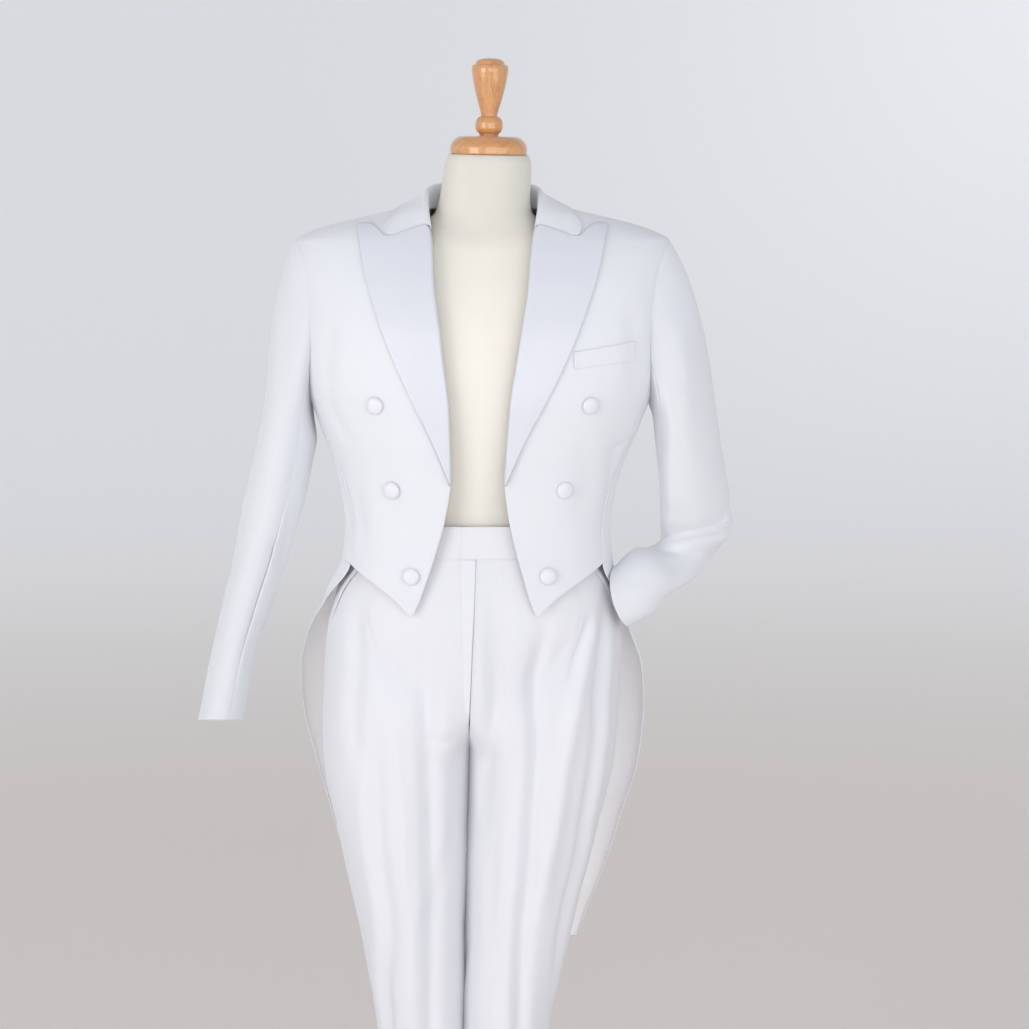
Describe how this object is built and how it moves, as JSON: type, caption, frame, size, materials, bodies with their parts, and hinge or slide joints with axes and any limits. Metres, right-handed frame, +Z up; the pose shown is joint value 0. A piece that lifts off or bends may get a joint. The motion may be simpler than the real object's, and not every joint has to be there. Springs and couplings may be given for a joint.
{
  "type": "tailcoat tuxedo on a dress form",
  "caption": "White tailcoat with peaked satin lapels, cut away in front with long tails behind, and matching trousers, worn by a limbless dress form on a round base.",
  "frame": {"origin": "middle of the stand base's underside, on the floor", "axes": "+Z up, -Y the way the wearer faces, +X the wearer's left"},
  "size_m": [0.6944, 0.38, 1.65],
  "materials": {
    "coat_cloth": "white fine twill suiting, matt",
    "satin": "white satin with a soft sheen",
    "trouser_cloth": "white fine twill suiting, matt",
    "form_cover": "cream cotton jersey stretched over padding",
    "varnished_wood": "turned hardwood with a gloss varnish",
    "stand_steel": "plain brushed steel"
  },
  "bodies": {
    "root": {"forepart_right": "coat_cloth", "side_body_right": "coat_cloth", "back_right": "coat_cloth", "skirt_right": "coat_cloth", "sleeve_top_right": "coat_cloth", "sleeve_under_right": "coat_cloth", "lapel_right": "satin", "button_right_1": "satin", "button_right_2": "satin", "button_right_3": "satin", "trouser_front_right": "trouser_cloth", "trouser_back_right": "trouser_cloth", "pocket_right": "trouser_cloth", "waistband_right": "trouser_cloth", "forepart_left": "coat_cloth", "side_body_left": "coat_cloth", "back_left": "coat_cloth", "skirt_left": "coat_cloth", "sleeve_top_left": "coat_cloth", "sleeve_under_left": "coat_cloth", "lapel_left": "satin", "button_left_1": "satin", "button_left_2": "satin", "button_left_3": "satin", "trouser_front_left": "trouser_cloth", "trouser_back_left": "trouser_cloth", "pocket_left": "trouser_cloth", "waistband_left": "trouser_cloth", "collar": "coat_cloth", "breast_welt": "coat_cloth", "trouser_fly": "trouser_cloth", "form_torso": "form_cover", "form_neck_cap": "varnished_wood", "form_finial": "varnished_wood", "stand_pole": "stand_steel", "stand_socket": "stand_steel", "stand_base": "stand_steel"}
  },
  "joints": []
}
